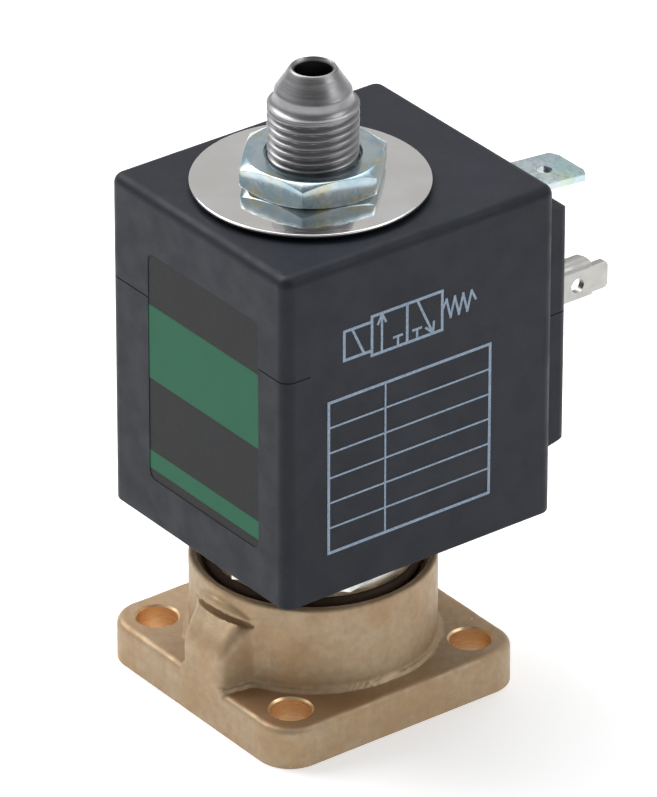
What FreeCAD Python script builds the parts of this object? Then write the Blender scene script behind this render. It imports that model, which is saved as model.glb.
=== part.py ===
import FreeCAD, Part
import math
import os

# Flange-mounted, direct-acting 3/2-way solenoid valve.
# Frame: +Z is up along the stem, with the origin at the centre of the flange's lower face.
# -Y is the coil's label face, and +Y is the side that its blade terminals stand out of.
# Every length is in millimetres.

# --- clearances ---
SNUG = 0.02                 # between pieces that are fitted to each other
POCKET = 0.05               # between a moulding and the piece that it is moulded over
TOUCH = 1e-6                # two measures closer than this are the same

# --- forged body ---
FLANGE_SIDE = 32.5
FLANGE_T = 4.8
FLANGE_CORNER_R = 4.0
FLANGE_EDGE_R = 0.7
SCREW_PITCH = 24.0
SCREW_HOLE_R = 2.25
SCREW_CHAMFER = 0.35
CUP_R = 13.36
CUP_TOP = 14.8
CUP_LIP_R = 12.6            # inner edge of the rim
CUP_RIM_EDGE = 0.3
SKIRT_R = 13.8              # small forged step round the foot of the cup
SKIRT_TOP = 5.05
SKIRT_FLARE_TOP = 6.2
BOSS_X = 0.9                # port boss that runs up the cup from the front edge
BOSS_FRONT_W = 6.4
BOSS_REAR_W = 10.4
BOSS_REAR_Y = -11.0
BOSS_TOP = 11.9
BOSS_EDGE_R = 1.5
SOCKET_R = 10.0             # threaded socket for the tube base
SOCKET_SEAT_R = 10.9
SOCKET_SEAT_Z = 12.8
CHAMBER_FLOOR = 6.0

# --- ports ---
OUTLET_Y = -8.6
PORT_R = 1.75
PORT_SEAL_R = 3.6           # counterbore for a port's O-ring
PORT_SEAL_DEPTH = 1.3
ORIFICE_R = 1.1
ORIFICE_BOTTOM = 4.6
SEAT_TOP = 7.9
SEAT_FOOT_R = 3.0
SEAT_ROOT = 1.0             # how far the seat is sunk below the chamber's floor
SEAT_TIP_R = 1.7
PORT_ORING_R = 2.75
PORT_ORING_SECTION = 0.62

# --- tube base ---
THREAD_GAP = 0.06
BASE_BOTTOM = 8.2
BASE_COLLAR_R = 11.3
BASE_COLLAR_BOTTOM = 15.2
HEX_AF = 22.2
HEX_BOTTOM = 16.4
HEX_TOP = 19.25
HEX_TURN = 40.7             # degrees that the corners are turned from the X axis
HEX_BEVEL = 0.35
HEX_BEVEL_ANGLE = 20.0
SPRING_WELL_R = 6.6
SPRING_WELL_TOP = 15.4
TUBE_ORING_SECTION = 0.85

# --- guide tube and fixed core ---
TUBE_OUTER_R = 4.95
TUBE_INNER_R = 4.5
TUBE_TOP = 56.5
STUD_R = 4.864              # G 1/8 pipe thread, major radius
STUD_THREAD_TOP = 68.2
THREAD_PITCH_R = 4.5735     # the thread inside the nut is drawn at its pitch radius
NECK_R = 4.1
NECK_BOTTOM = 69.2
CONE_BOTTOM = 70.0
CONE_TOP = 72.28
CONE_TOP_R = 2.6
STUD_TIP_R = 2.35
STUD_TOP = 72.5
EXHAUST_R = 1.95
EXHAUST_MOUTH_R = 2.2
EXHAUST_MOUTH_DEPTH = 0.45
EXHAUST_ORIFICE_R = 1.0
EXHAUST_ORIFICE_TOP = 43.0
SHADING_INNER_R = 2.9
SHADING_OUTER_R = 3.7
SHADING_TOP = 42.0

# --- plunger ---
STROKE = 1.2
CORE_GAP = 0.07             # left between the plunger and the core at full stroke
PLUNGER_R = 4.42
PLUNGER_BOTTOM = 8.0
PLUNGER_TOP = 38.8
CORE_BOTTOM = PLUNGER_TOP + STROKE + CORE_GAP
PLUNGER_COLLAR_R = 6.0
PLUNGER_COLLAR_TOP = 9.5
PLUNGER_FLAT = 3.9          # half of the width across the two air flats
FLAT_BOTTOM = 10.6
SEAL_R = 2.75
SEAL_TOP = 10.2
SEAL_FACE = SEAT_TOP + SNUG
WELL_R = 3.0                # well in the plunger's top for the exhaust seal and its spring
WELL_FLOOR = 31.0
WELL_LIP_R = 2.55
WELL_LIP_BOTTOM = 38.2
EXHAUST_SEAL_TOP = 39.12
EXHAUST_COLLAR_BOTTOM = 36.6
EXHAUST_STUB_R = 2.45

# --- springs ---
RETURN_SPRING_R = 5.45
RETURN_WIRE_R = 0.3
RETURN_TURNS = 5
EXHAUST_SPRING_R = 2.4
EXHAUST_WIRE_R = 0.3
EXHAUST_TURNS = 4

# --- parts on top of the coil ---
WASHER_R = 12.75
WASHER_BOTTOM = 59.1
WASHER_TOP = 59.5
WASHER_EDGE = 0.08
RING_R = 9.0                # thin sprung ring under the disc washer
RING_BOTTOM = 58.65
RING_TOP = 59.08
STUD_CLEAR_R = 5.15
NUT_AF = 14.45
NUT_TOP = 62.65
NUT_TURN = 15.5
NUT_THREAD_GAP = 0.03
NUT_BEVEL_R_TOP = 7.2
NUT_BEVEL_R_BOTTOM = 7.05
NUT_BEVEL_ANGLE = 28.0
NUT_SINK_R = 5.2

# --- coil housing ---
COIL_X = 15.4               # half of the width
COIL_FRONT = -15.21
COIL_BACK = 20.33
COIL_BOTTOM = 19.3
COIL_TOP = 58.6
COIL_CORNER_R = 1.35
COIL_TOP_EDGE_R = 1.2
COIL_FOOT_EDGE_R = 0.3
COIL_BORE_R = 5.1
PAD_X = 14.2                # half of the terminal pad's width
PAD_FACE = 22.95
PAD_ROOT = 2.0              # how far the pad is sunk into the block
PAD_BOTTOM = 26.5
PAD_FACE_BOTTOM = 27.1
PAD_TOP = 55.05
PAD_EDGE_R = 1.0
PARTING_Z = 46.5
PARTING_H = 0.14
PARTING_DEPTH = 0.1
PARTING_END_Y = -12.0
PAD_PARTING_Z = 42.4        # the mould halves also leave a line across the pad
LABEL_X0 = -8.6
LABEL_X1 = 10.7
LABEL_Z0 = 24.75
LABEL_Z1 = 51.9
LABEL_CORNER_R = 1.0
LABEL_T = 0.2
LABEL_RECESS = 0.26

# --- magnet: bobbin, winding and yoke ---
BOBBIN_BORE_R = 5.2
BOBBIN_CORE_R = 6.2
BOBBIN_FLANGE_R = 12.6
BOBBIN_FLANGE_T = 2.0
BOBBIN_BOTTOM = 23.2
BOBBIN_TOP = 54.8
WINDING_R = 12.2
TAPE_T = 0.2
YOKE_T = 3.0
YOKE_BOTTOM = 20.1
YOKE_TOP = 57.9
YOKE_X = 11.0
YOKE_FRONT = -11.0
YOKE_BACK_X = 9.0
YOKE_BACK = 16.0
YOKE_BORE_R = 5.3

# --- terminals ---
TAB_T = 0.8
EARTH_HALF_W = 3.15
EARTH_Z = 50.5
EARTH_TIP = 34.6
EARTH_TIP_CUT_W = 1.0
EARTH_TIP_CUT_L = 0.5
EARTH_HOLE_R = 0.88
EARTH_HOLE_Y = 30.85
EARTH_FOOT_BOTTOM = 44.0
EARTH_BEND_R = 0.5
LINE_X = 5.5                # outer face of each line terminal
LINE_ROOT = 17.2
LINE_BOTTOM = 36.75
LINE_BEND_BOTTOM = 40.5
LINE_BEND_R = 1.2
LINE_FOLD_W = 1.75
LINE_SHOULDER = 33.3
LINE_FOLD_END = 32.3
LINE_TIP = 35.4
TONGUE_BOTTOM = 37.05
TONGUE_TOP = 40.8
TONGUE_CUT = 0.6
LINE_HOLE_R = 0.85
LINE_HOLE_Y = 31.3
LINE_HOLE_Z = 38.7
LEAD_R = 0.3
LEAD_X = 11.0
LEAD_BEND_R = 1.5


# --- building blocks ---

def vec(x, y, z):
    return FreeCAD.Vector(x, y, z)


UP = vec(0, 0, 1)


def box(x0, x1, y0, y1, z0, z1):
    return Part.makeBox(x1 - x0, y1 - y0, z1 - z0, vec(x0, y0, z0))


def rod(radius, z0, z1, x=0.0, y=0.0):
    return Part.makeCylinder(radius, z1 - z0, vec(x, y, z0))


def ring(inner, outer, z0, z1):
    return rod(outer, z0, z1).cut(rod(inner, z0, z1))


def turned(profile):
    """A solid of revolution about Z from a closed outline of (radius, height) points."""
    points = [vec(r, 0, z) for r, z in profile]
    face = Part.Face(Part.makePolygon(points + points[:1]))
    return face.revolve(vec(0, 0, 0), UP, 360)


def prism(points, direction):
    """A flat outline of vectors, pushed along a direction."""
    return Part.Face(Part.makePolygon(points + points[:1])).extrude(direction)


def hexagon(across_flats, z0, z1, turn):
    radius = across_flats / math.sqrt(3)
    angles = [math.radians(turn + 60 * k) for k in range(6)]
    points = [vec(radius * math.cos(a), radius * math.sin(a), z0) for a in angles]
    return prism(points, vec(0, 0, z1 - z0))


def rounded(shape, radius, chosen):
    """Fillets the edges for which chosen(edge) is true."""
    return shape.makeFillet(radius, [e for e in shape.Edges if chosen(e)])


def is_upright(edge):
    size = edge.BoundBox
    return size.XLength + size.YLength < TOUCH and size.ZLength > 0


def at_height(z):
    """A test for edges that lie wholly at one height."""
    def test(edge):
        return abs(edge.BoundBox.ZMin - z) < TOUCH and edge.BoundBox.ZLength < TOUCH
    return test


def rounded_block(x0, x1, y0, y1, z0, z1, corner):
    return rounded(box(x0, x1, y0, y1, z0, z1), corner, is_upright)


def coil_spring(radius, wire_r, turns, z0, z1):
    """A helical spring of round wire that just fits between two heights."""
    height = z1 - z0 - 2 * wire_r
    path = Part.makeHelix(height / turns, height, radius)
    section = Part.Wire(Part.makeCircle(wire_r, vec(radius, 0, 0), vec(0, 1, 0)))
    spring = Part.Wire(path).makePipeShell([section], True, True)
    spring.translate(vec(0, 0, z0 + wire_r))
    return spring


def clipped_hexagon(across_flats, z0, z1, turn, top_r, bottom_r, angle):
    """A hexagon whose corners are turned off by a cone at each end."""
    rise = math.tan(math.radians(angle))
    reach = across_flats
    cap = turned([(0, z0), (bottom_r, z0), (reach, z0 + (reach - bottom_r) * rise),
                  (reach, z1 - (reach - top_r) * rise), (top_r, z1), (0, z1)])
    return hexagon(across_flats, z0, z1, turn).common(cap)


def save(name, shape):
    solid = shape.Solids[0] if len(shape.Solids) == 1 else shape
    if not solid.isValid():
        raise ValueError(name + " is not a valid solid")
    solid.exportStep("parts/" + name + ".step")
    print(name, len(shape.Solids), "solid,", round(shape.Volume, 2), "mm3")


# --- valve body ---

def flange():
    half = FLANGE_SIDE / 2
    plate = rounded_block(-half, half, -half, half, 0, FLANGE_T, FLANGE_CORNER_R)
    return rounded(plate, FLANGE_EDGE_R, at_height(FLANGE_T))


def cup():
    return turned([(0, 0), (SKIRT_R, 0), (SKIRT_R, SKIRT_TOP), (CUP_R, SKIRT_FLARE_TOP),
                   (CUP_R, CUP_TOP - CUP_RIM_EDGE), (CUP_R - CUP_RIM_EDGE, CUP_TOP), (0, CUP_TOP)])


def port_boss():
    """A block that widens from the flange's front edge to the cup, with rounded edges."""
    front = -FLANGE_SIDE / 2
    block = prism([vec(BOSS_X - BOSS_FRONT_W / 2, front, 0), vec(BOSS_X + BOSS_FRONT_W / 2, front, 0),
                   vec(BOSS_X + BOSS_REAR_W / 2, BOSS_REAR_Y, 0),
                   vec(BOSS_X - BOSS_REAR_W / 2, BOSS_REAR_Y, 0)], vec(0, 0, BOSS_TOP))

    def in_front(edge):
        size = edge.BoundBox
        upright = size.XLength + size.YLength < TOUCH
        return size.YMin < front + TOUCH and (upright or size.ZMin > BOSS_TOP - TOUCH)

    return rounded(block, BOSS_EDGE_R, in_front)


def socket():
    return turned([(0, CHAMBER_FLOOR), (SOCKET_R, CHAMBER_FLOOR), (SOCKET_R, SOCKET_SEAT_Z),
                   (SOCKET_SEAT_R, SOCKET_SEAT_Z), (CUP_LIP_R, CUP_TOP), (0, CUP_TOP)])


def seat():
    root = CHAMBER_FLOOR - SEAT_ROOT
    return turned([(0, root), (SEAT_FOOT_R, root),
                   (SEAT_FOOT_R, CHAMBER_FLOOR), (SEAT_TIP_R, SEAT_TOP), (0, SEAT_TOP)])


def screw_hole(x, y):
    hole = rod(SCREW_HOLE_R, 0, FLANGE_T, x, y)
    mouth_r = SCREW_HOLE_R + SCREW_CHAMFER
    mouth = Part.makeCone(SCREW_HOLE_R, mouth_r, SCREW_CHAMFER, vec(x, y, FLANGE_T - SCREW_CHAMFER))
    return hole.fuse(mouth)


def valve_body():
    body = flange().fuse([cup(), port_boss()])
    body = body.cut(socket()).fuse(seat())
    half_pitch = SCREW_PITCH / 2
    cutters = [screw_hole(x, y) for x in (-half_pitch, half_pitch) for y in (-half_pitch, half_pitch)]
    cutters.append(rod(PORT_SEAL_R, 0, PORT_SEAL_DEPTH))
    cutters.append(rod(PORT_R, 0, ORIFICE_BOTTOM))
    cutters.append(rod(ORIFICE_R, 0, SEAT_TOP))
    cutters.append(rod(PORT_SEAL_R, 0, PORT_SEAL_DEPTH, 0, OUTLET_Y))
    cutters.append(rod(PORT_R, 0, CHAMBER_FLOOR, 0, OUTLET_Y))
    return body.cut(cutters).removeSplitter()


def port_oring(y):
    return Part.makeTorus(PORT_ORING_R, PORT_ORING_SECTION, vec(0, y, PORT_SEAL_DEPTH / 2))


# --- stem: tube base, guide tube, fixed core ---

def tube_base():
    thread_r = SOCKET_R - THREAD_GAP
    neck = rod(thread_r, BASE_BOTTOM, BASE_COLLAR_BOTTOM)
    collar = rod(BASE_COLLAR_R, BASE_COLLAR_BOTTOM, HEX_BOTTOM)
    bevel_r = HEX_AF / 2
    head = clipped_hexagon(HEX_AF, HEX_BOTTOM, HEX_TOP, HEX_TURN,
                           bevel_r, bevel_r - HEX_BEVEL, HEX_BEVEL_ANGLE)
    well = rod(SPRING_WELL_R, BASE_BOTTOM, SPRING_WELL_TOP)
    bore = rod(TUBE_OUTER_R + SNUG, BASE_BOTTOM, HEX_TOP)
    return neck.fuse([collar, head]).cut([well, bore]).removeSplitter()


def tube_oring():
    middle_r = SOCKET_R - THREAD_GAP + TUBE_ORING_SECTION + SNUG
    middle_z = BASE_COLLAR_BOTTOM - TUBE_ORING_SECTION - SNUG
    return Part.makeTorus(middle_r, TUBE_ORING_SECTION, vec(0, 0, middle_z))


def guide_tube():
    return ring(TUBE_INNER_R, TUBE_OUTER_R, SPRING_WELL_TOP + SNUG, TUBE_TOP)


def fixed_core():
    core_r = TUBE_INNER_R - SNUG
    shoulder = TUBE_TOP + SNUG
    outside = turned([(0, CORE_BOTTOM), (core_r, CORE_BOTTOM), (core_r, shoulder),
                      (THREAD_PITCH_R, shoulder), (THREAD_PITCH_R, NUT_TOP), (STUD_R, NUT_TOP),
                      (STUD_R, STUD_THREAD_TOP), (NECK_R, NECK_BOTTOM),
                      (NECK_R, CONE_BOTTOM), (CONE_TOP_R, CONE_TOP), (STUD_TIP_R, STUD_TOP),
                      (0, STUD_TOP)])
    orifice = rod(EXHAUST_ORIFICE_R, CORE_BOTTOM, EXHAUST_ORIFICE_TOP)
    mouth_z = STUD_TOP - EXHAUST_MOUTH_DEPTH
    exhaust = turned([(0, EXHAUST_ORIFICE_TOP), (EXHAUST_R, EXHAUST_ORIFICE_TOP), (EXHAUST_R, mouth_z),
                      (EXHAUST_MOUTH_R, STUD_TOP), (0, STUD_TOP)])
    groove = ring(SHADING_INNER_R, SHADING_OUTER_R, CORE_BOTTOM, SHADING_TOP)
    return outside.cut([orifice, exhaust, groove])


def shading_ring():
    inner = SHADING_INNER_R + SNUG
    outer = SHADING_OUTER_R - SNUG
    return ring(inner, outer, CORE_BOTTOM + SNUG, SHADING_TOP - SNUG)


# --- plunger and what it carries ---

def plunger():
    body = rod(PLUNGER_R, PLUNGER_BOTTOM, PLUNGER_TOP)
    collar = rod(PLUNGER_COLLAR_R, PLUNGER_BOTTOM, PLUNGER_COLLAR_TOP)
    reach = PLUNGER_COLLAR_R
    flats = [box(PLUNGER_FLAT, reach, -reach, reach, FLAT_BOTTOM, PLUNGER_TOP),
             box(-reach, -PLUNGER_FLAT, -reach, reach, FLAT_BOTTOM, PLUNGER_TOP)]
    seal_well = rod(SEAL_R, PLUNGER_BOTTOM, SEAL_TOP)
    well = rod(WELL_R, WELL_FLOOR, WELL_LIP_BOTTOM)
    mouth = rod(WELL_LIP_R, WELL_LIP_BOTTOM, PLUNGER_TOP)
    return body.fuse(collar).cut(flats + [seal_well, well, mouth]).removeSplitter()


def plunger_seal():
    return rod(SEAL_R - SNUG, SEAL_FACE, SEAL_TOP - SNUG)


def exhaust_seal():
    collar = rod(WELL_R - POCKET, EXHAUST_COLLAR_BOTTOM, WELL_LIP_BOTTOM - SNUG)
    stub = rod(EXHAUST_STUB_R, EXHAUST_COLLAR_BOTTOM, EXHAUST_SEAL_TOP)
    return collar.fuse(stub).removeSplitter()


def exhaust_seal_spring():
    return coil_spring(EXHAUST_SPRING_R, EXHAUST_WIRE_R, EXHAUST_TURNS,
                       WELL_FLOOR + SNUG, EXHAUST_COLLAR_BOTTOM - SNUG)


def return_spring():
    return coil_spring(RETURN_SPRING_R, RETURN_WIRE_R, RETURN_TURNS,
                       PLUNGER_COLLAR_TOP + SNUG, SPRING_WELL_TOP - SNUG)


# --- what holds the coil down ---

def disc_washer():
    edge = WASHER_EDGE
    return turned([(STUD_CLEAR_R, WASHER_BOTTOM), (WASHER_R - edge, WASHER_BOTTOM),
                   (WASHER_R, WASHER_BOTTOM + edge), (WASHER_R, WASHER_TOP - edge),
                   (WASHER_R - edge, WASHER_TOP), (STUD_CLEAR_R, WASHER_TOP)])


def coil_nut():
    blank = clipped_hexagon(NUT_AF, WASHER_TOP, NUT_TOP, NUT_TURN,
                            NUT_BEVEL_R_TOP, NUT_BEVEL_R_BOTTOM, NUT_BEVEL_ANGLE)
    thread_r = THREAD_PITCH_R + NUT_THREAD_GAP
    sink = NUT_SINK_R - thread_r
    bore = turned([(0, WASHER_TOP), (NUT_SINK_R, WASHER_TOP), (thread_r, WASHER_TOP + sink),
                   (thread_r, NUT_TOP - sink), (NUT_SINK_R, NUT_TOP), (0, NUT_TOP)])
    return blank.cut(bore)


# --- coil housing ---

def parting_groove():
    """The shallow line that the mould halves leave on the label face and round its right corner."""
    z0 = PARTING_Z - PARTING_H / 2
    z1 = PARTING_Z + PARTING_H / 2
    depth = PARTING_DEPTH
    outside = box(-COIL_X, COIL_X, COIL_FRONT, PARTING_END_Y, z0, z1)
    inside = rounded_block(-COIL_X - COIL_CORNER_R, COIL_X - depth, COIL_FRONT + depth, COIL_BACK,
                           z0, z1, COIL_CORNER_R - depth)
    return outside.cut(inside)


def pad_parting_groove():
    z0 = PAD_PARTING_Z - PARTING_H / 2
    z1 = PAD_PARTING_Z + PARTING_H / 2
    depth = PARTING_DEPTH
    outside = box(-PAD_X, PAD_X, COIL_BACK, PAD_FACE, z0, z1)
    inside = rounded_block(-PAD_X + depth, PAD_X - depth, COIL_FRONT, PAD_FACE - depth,
                           z0, z1, PAD_EDGE_R - depth)
    return outside.cut(inside)


def terminal_pad():
    side = [vec(-PAD_X, COIL_BACK - PAD_ROOT, PAD_BOTTOM), vec(-PAD_X, COIL_BACK, PAD_BOTTOM),
            vec(-PAD_X, PAD_FACE, PAD_FACE_BOTTOM), vec(-PAD_X, PAD_FACE, PAD_TOP),
            vec(-PAD_X, COIL_BACK - PAD_ROOT, PAD_TOP)]
    pad = prism(side, vec(2 * PAD_X, 0, 0))

    def on_face(edge):
        return edge.BoundBox.YMin > PAD_FACE - TOUCH and edge.BoundBox.ZMax > PAD_FACE_BOTTOM + TOUCH

    return rounded(pad, PAD_EDGE_R, on_face)


def coil_block():
    block = rounded_block(-COIL_X, COIL_X, COIL_FRONT, COIL_BACK, COIL_BOTTOM, COIL_TOP, COIL_CORNER_R)
    block = rounded(block, COIL_TOP_EDGE_R, at_height(COIL_TOP))
    return rounded(block, COIL_FOOT_EDGE_R, at_height(COIL_BOTTOM))


def label_plate(front, back):
    plate = box(LABEL_X0, LABEL_X1, front, back, LABEL_Z0, LABEL_Z1)

    def at_corner(edge):
        size = edge.BoundBox
        return size.XLength + size.ZLength < TOUCH

    return rounded(plate, LABEL_CORNER_R, at_corner)


def coil_label():
    back = COIL_FRONT + LABEL_RECESS
    return label_plate(back - LABEL_T, back)


def coil_housing():
    gap = POCKET
    pocket = [rod(BOBBIN_FLANGE_R + gap, YOKE_BOTTOM, YOKE_TOP),
              rod(COIL_BORE_R, COIL_BOTTOM, COIL_TOP),
              box(-YOKE_X - gap, YOKE_X + gap, YOKE_FRONT - gap, YOKE_BACK + gap,
                  YOKE_BOTTOM - gap, YOKE_BOTTOM + YOKE_T + gap),
              box(-YOKE_X - gap, YOKE_X + gap, YOKE_FRONT - gap, YOKE_BACK + gap,
                  YOKE_TOP - YOKE_T - gap, YOKE_TOP + gap),
              box(-YOKE_BACK_X - gap, YOKE_BACK_X + gap, 0, YOKE_BACK + gap, YOKE_BOTTOM, YOKE_TOP),
              earth_slot(gap), line_slot(1, gap), line_slot(-1, gap),
              lead_wire(1, gap), lead_wire(-1, gap),
              parting_groove(), pad_parting_groove(),
              label_plate(COIL_FRONT, COIL_FRONT + LABEL_RECESS)]
    housing = coil_block().fuse(terminal_pad()).cut(pocket)
    return max(housing.Solids, key=lambda solid: solid.Volume)


# --- magnet ---

def yoke_frame():
    lower = box(-YOKE_X, YOKE_X, YOKE_FRONT, YOKE_BACK, YOKE_BOTTOM, YOKE_BOTTOM + YOKE_T)
    upper = box(-YOKE_X, YOKE_X, YOKE_FRONT, YOKE_BACK, YOKE_TOP - YOKE_T, YOKE_TOP)
    back = box(-YOKE_BACK_X, YOKE_BACK_X, YOKE_BACK - YOKE_T, YOKE_BACK, YOKE_BOTTOM, YOKE_TOP)
    bore = rod(YOKE_BORE_R, YOKE_BOTTOM, YOKE_TOP)
    return lower.fuse([upper, back]).cut(bore).removeSplitter()


def bobbin():
    core = rod(BOBBIN_CORE_R, BOBBIN_BOTTOM, BOBBIN_TOP)
    lower = rod(BOBBIN_FLANGE_R, BOBBIN_BOTTOM, BOBBIN_BOTTOM + BOBBIN_FLANGE_T)
    upper = rod(BOBBIN_FLANGE_R, BOBBIN_TOP - BOBBIN_FLANGE_T, BOBBIN_TOP)
    bore = rod(BOBBIN_BORE_R, BOBBIN_BOTTOM, BOBBIN_TOP)
    return core.fuse([lower, upper]).cut(bore).removeSplitter()


def wound_layer(inner, outer):
    z0 = BOBBIN_BOTTOM + BOBBIN_FLANGE_T + SNUG
    z1 = BOBBIN_TOP - BOBBIN_FLANGE_T - SNUG
    return ring(inner + SNUG, outer, z0, z1)


def lead_wire(side, grown=0.0):
    """A winding end: along the coil past the yoke, then in to the root of its terminal."""
    coil_r = WINDING_R + TAPE_T
    start_y = math.sqrt(coil_r ** 2 - (LEAD_X - LEAD_R) ** 2) + LEAD_R
    end_x = LINE_X + SNUG
    turn_y = LINE_ROOT + LEAD_R + POCKET
    z = LINE_HOLE_Z
    bend = LEAD_BEND_R
    half = bend * math.sqrt(0.5)
    centre = vec(side * (LEAD_X - bend), turn_y - bend, z)
    start = vec(side * LEAD_X, start_y, z)
    bend_in = vec(side * LEAD_X, turn_y - bend, z)
    bend_mid = centre + vec(side * half, half, 0)
    bend_out = vec(side * (LEAD_X - bend), turn_y, z)
    end = vec(side * end_x, turn_y, z)
    run_a = Part.LineSegment(start, bend_in).toShape()
    turn = Part.Arc(bend_in, bend_mid, bend_out).toShape()
    run_b = Part.LineSegment(bend_out, end).toShape()
    section = Part.Wire(Part.makeCircle(LEAD_R + grown, start, vec(0, 1, 0)))
    return Part.Wire([run_a, turn, run_b]).makePipeShell([section], True, False)


# --- terminals ---

def earth_slot(grown):
    z0 = EARTH_Z - TAB_T / 2
    z1 = EARTH_Z + TAB_T / 2
    width = EARTH_HALF_W + grown
    blade = box(-width, width, YOKE_BACK, PAD_FACE, z0 - grown, z1 + grown)
    foot = box(-width, width, YOKE_BACK, YOKE_BACK + SNUG + TAB_T + grown, EARTH_FOOT_BOTTOM - grown, z1)
    return blade.fuse(foot)


def earth_terminal():
    """A flat blade with clipped tip corners, whose foot is welded to the back of the yoke."""
    z0 = EARTH_Z - TAB_T / 2
    z1 = EARTH_Z + TAB_T / 2
    root = YOKE_BACK + SNUG
    width = EARTH_HALF_W
    nose = width - EARTH_TIP_CUT_W
    outline = [vec(-width, root, z0), vec(width, root, z0),
               vec(width, EARTH_TIP - EARTH_TIP_CUT_L, z0), vec(nose, EARTH_TIP, z0),
               vec(-nose, EARTH_TIP, z0), vec(-width, EARTH_TIP - EARTH_TIP_CUT_L, z0)]
    blade = prism(outline, vec(0, 0, TAB_T))
    foot = box(-width, width, root, root + TAB_T, EARTH_FOOT_BOTTOM, z1)
    tab = blade.fuse(foot).removeSplitter()

    def outer_bend(edge):
        size = edge.BoundBox
        return abs(size.ZMin - z1) < TOUCH and abs(size.YMax - root) < TOUCH

    tab = rounded(tab, EARTH_BEND_R, outer_bend)
    return tab.cut(rod(EARTH_HOLE_R, z0, z1, 0, EARTH_HOLE_Y))


def line_section(y, grown=0.0):
    """The blade's section at one depth: an upright web with its upper edge folded inwards."""
    outer = LINE_X + grown
    inner = LINE_X - TAB_T - grown
    top = LINE_BEND_BOTTOM + LINE_BEND_R + grown
    under = top - TAB_T - 2 * grown
    fold = LINE_X - LINE_FOLD_W - grown
    bottom = LINE_BOTTOM - grown
    return [vec(inner, y, bottom), vec(outer, y, bottom), vec(outer, y, top),
            vec(fold, y, top), vec(fold, y, under), vec(inner, y, under)]


def mirrored(shape, side):
    if side > 0:
        return shape
    return shape.mirror(vec(0, 0, 0), vec(1, 0, 0))


def line_slot(side, grown):
    root = LINE_ROOT - grown
    slot = prism(line_section(root, grown), vec(0, PAD_FACE - root, 0))
    return mirrored(slot, side)


def line_terminal(side):
    top = LINE_BEND_BOTTOM + LINE_BEND_R
    web = prism(line_section(LINE_ROOT), vec(0, LINE_SHOULDER - LINE_ROOT, 0))

    def outer_bend(edge):
        size = edge.BoundBox
        return abs(size.XMin - LINE_X) < TOUCH and abs(size.ZMin - top) < TOUCH

    web = rounded(web, LINE_BEND_R, outer_bend)
    inner = LINE_X - TAB_T
    fold = LINE_X - LINE_FOLD_W
    clip = prism([vec(fold, LINE_FOLD_END, top - TAB_T), vec(LINE_X, LINE_SHOULDER, top - TAB_T),
                  vec(fold, LINE_SHOULDER, top - TAB_T)], vec(0, 0, TAB_T))
    cut = TONGUE_CUT
    tongue = prism([vec(inner, LINE_SHOULDER, TONGUE_BOTTOM), vec(inner, LINE_TIP - cut, TONGUE_BOTTOM),
                    vec(inner, LINE_TIP, TONGUE_BOTTOM + cut), vec(inner, LINE_TIP, TONGUE_TOP - cut),
                    vec(inner, LINE_TIP - cut, TONGUE_TOP), vec(inner, LINE_SHOULDER, TONGUE_TOP)],
                   vec(TAB_T, 0, 0))
    eye = Part.makeCylinder(LINE_HOLE_R, TAB_T, vec(inner, LINE_HOLE_Y, LINE_HOLE_Z), vec(1, 0, 0))
    blade = web.cut(clip).fuse(tongue).cut(eye).removeSplitter()
    return mirrored(blade, side)


# --- every sub-part, written out ---

os.makedirs("parts", exist_ok=True)

save("valve_body", valve_body())
save("inlet_oring", port_oring(0))
save("outlet_oring", port_oring(OUTLET_Y))
save("tube_base", tube_base())
save("tube_oring", tube_oring())
save("guide_tube", guide_tube())
save("fixed_core", fixed_core())
save("shading_ring", shading_ring())
save("plunger", plunger())
save("plunger_seal", plunger_seal())
save("exhaust_seal", exhaust_seal())
save("exhaust_seal_spring", exhaust_seal_spring())
save("return_spring", return_spring())
save("spring_washer", ring(STUD_CLEAR_R, RING_R, RING_BOTTOM, RING_TOP))
save("disc_washer", disc_washer())
save("coil_nut", coil_nut())
save("coil_housing", coil_housing())
save("coil_label", coil_label())
save("yoke_frame", yoke_frame())
save("bobbin", bobbin())
save("copper_winding", wound_layer(BOBBIN_CORE_R, WINDING_R))
save("winding_tape", wound_layer(WINDING_R, WINDING_R + TAPE_T))
save("earth_terminal", earth_terminal())
for label, side in (("left", -1), ("right", 1)):
    save("line_terminal_" + label, line_terminal(side))
    save("lead_wire_" + label, lead_wire(side))
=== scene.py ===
import math

import bmesh
import bpy
import numpy as np
import openvdb
from mathutils import Matrix, Vector


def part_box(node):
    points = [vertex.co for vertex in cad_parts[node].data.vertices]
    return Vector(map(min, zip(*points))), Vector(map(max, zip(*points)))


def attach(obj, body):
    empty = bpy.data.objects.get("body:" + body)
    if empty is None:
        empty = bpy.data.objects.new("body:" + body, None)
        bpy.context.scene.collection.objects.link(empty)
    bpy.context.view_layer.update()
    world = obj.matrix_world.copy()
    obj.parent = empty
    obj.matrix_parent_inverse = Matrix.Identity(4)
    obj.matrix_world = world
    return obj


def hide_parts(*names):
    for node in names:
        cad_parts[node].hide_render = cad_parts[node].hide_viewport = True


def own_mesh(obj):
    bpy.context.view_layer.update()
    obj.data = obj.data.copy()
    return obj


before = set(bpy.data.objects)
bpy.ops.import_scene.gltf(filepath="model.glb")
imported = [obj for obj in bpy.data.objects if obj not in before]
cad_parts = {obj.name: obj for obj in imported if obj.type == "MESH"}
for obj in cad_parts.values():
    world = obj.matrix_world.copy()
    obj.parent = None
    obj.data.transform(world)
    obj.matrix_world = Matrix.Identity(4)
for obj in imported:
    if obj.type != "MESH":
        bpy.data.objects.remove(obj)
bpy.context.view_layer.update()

# Looks of a flange-mounted solenoid valve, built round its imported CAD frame.
# Shapes are worked out in millimetres and handed to Blender in metres.
MM = 0.001
FULL_TURN = 2 * math.pi


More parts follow.
